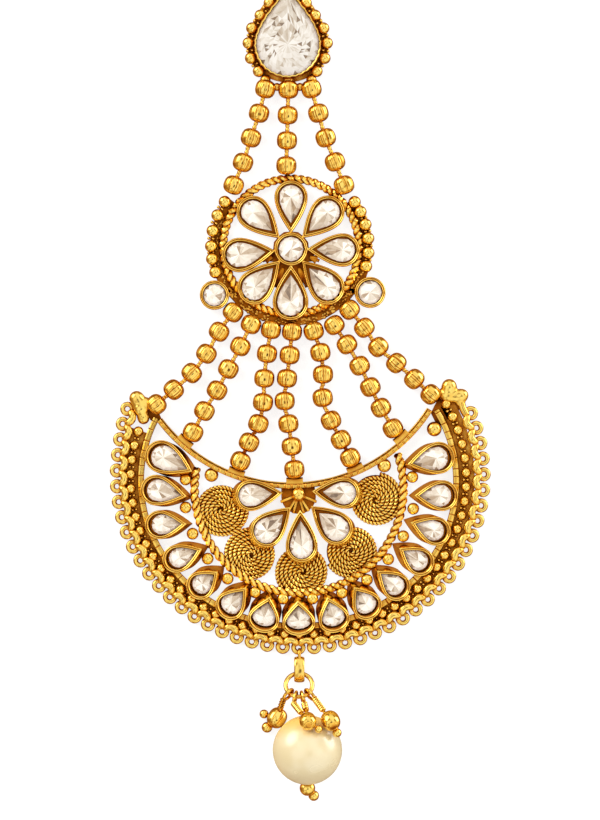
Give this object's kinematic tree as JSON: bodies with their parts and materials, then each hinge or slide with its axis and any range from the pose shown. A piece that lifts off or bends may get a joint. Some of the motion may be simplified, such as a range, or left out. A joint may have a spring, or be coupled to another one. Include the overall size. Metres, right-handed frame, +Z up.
{
  "type": "jhoomar hair ornament",
  "caption": "Hanging Indian hair ornament: pear crown stone on a hook, bead strands, round flower medallion, stone-set crescent with coils and a chain edge, and a pearl drop.",
  "frame": {"origin": "middle of the jewel's footprint, on the surface it lies on", "axes": "+Y from the pearl drop toward the hair hook, +Z up out of the front face, +X to the right as the front is seen"},
  "size_m": [0.0572, 0.1408, 0.0115],
  "materials": {
    "gold": "bright polished yellow gold, darker brown in the recesses",
    "hook_metal": "plain satin yellow gold",
    "stone": "clear cut stone over pale foil, slightly champagne",
    "pearl": "cream pearl with a soft lustre"
  },
  "bodies": {
    "root": {"crown_setting": "gold", "crown_stone": "stone", "hair_hook": "hook_metal", "upper_strand_left": "gold", "upper_strand_middle": "gold", "upper_strand_right": "gold", "lower_strand_1": "gold", "lower_strand_2": "gold", "lower_strand_3": "gold", "lower_strand_4": "gold", "lower_strand_5": "gold", "lower_strand_6": "gold", "lower_strand_7": "gold", "medallion_frame": "gold", "petal_stone_1": "stone", "petal_stone_2": "stone", "petal_stone_3": "stone", "petal_stone_4": "stone", "petal_stone_5": "stone", "petal_stone_6": "stone", "petal_stone_7": "stone", "petal_stone_8": "stone", "medallion_centre_stone": "stone", "side_stone_left": "stone", "side_stone_right": "stone", "crescent_frame": "gold", "crescent_stone_1": "stone", "crescent_stone_2": "stone", "crescent_stone_3": "stone", "crescent_stone_4": "stone", "crescent_stone_5": "stone", "crescent_stone_6": "stone", "crescent_stone_7": "stone", "crescent_stone_8": "stone", "crescent_stone_9": "stone", "crescent_stone_10": "stone", "crescent_stone_11": "stone", "crescent_stone_12": "stone", "crescent_stone_13": "stone", "crescent_stone_14": "stone", "crescent_stone_15": "stone", "fan_stone_1": "stone", "fan_stone_2": "stone", "fan_stone_3": "stone", "fan_stone_4": "stone", "fan_stone_5": "stone", "bead_border": "gold", "edge_chain": "gold", "bail": "gold", "jump_ring": "gold", "drop_beads_left": "gold", "drop_beads_middle": "gold", "drop_beads_right": "gold", "pearl": "pearl", "pearl_pin": "gold"}
  },
  "joints": []
}
